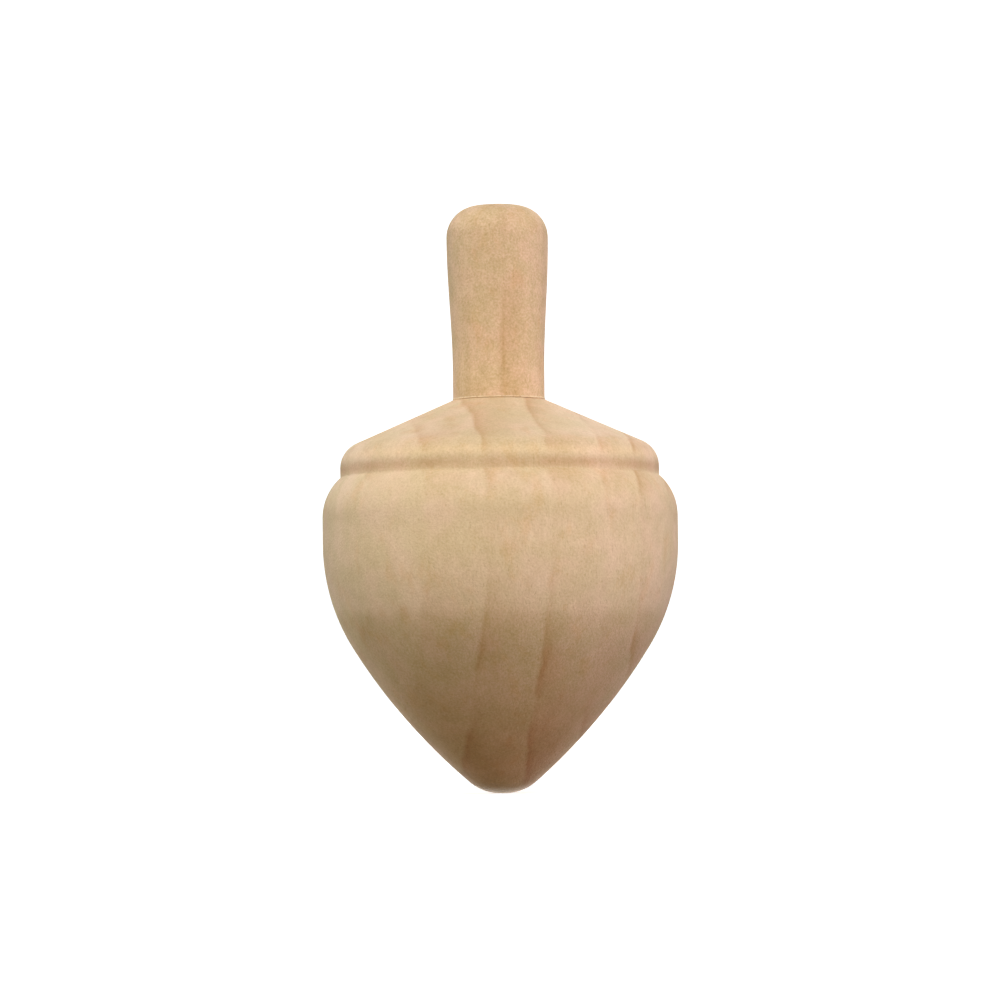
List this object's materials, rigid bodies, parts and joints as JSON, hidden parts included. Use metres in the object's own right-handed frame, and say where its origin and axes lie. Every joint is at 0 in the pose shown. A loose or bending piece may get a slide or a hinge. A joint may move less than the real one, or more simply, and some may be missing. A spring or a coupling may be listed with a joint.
{
  "type": "spinning top",
  "caption": "Acorn-shaped turned wooden spinning top: a pointed round body with a stepped cap, and a glued-in finger stem with a swollen, rounded end.",
  "frame": {"origin": "centre of the small flat on the spinning point, at the bottom of the top as it spins", "axes": "+Z along the spin axis from the spinning point to the end of the stem; the top is round about Z, so X and Y are free"},
  "size_m": [0.0382, 0.038, 0.063],
  "materials": {
    "body_wood": "turned and left bare",
    "stem_wood": "turned and left bare",
    "dried_glue": "dried white wood glue"
  },
  "bodies": {
    "root": {"body": "body_wood", "finger_stem": "stem_wood", "tenon_glue": "dried_glue"}
  },
  "joints": []
}
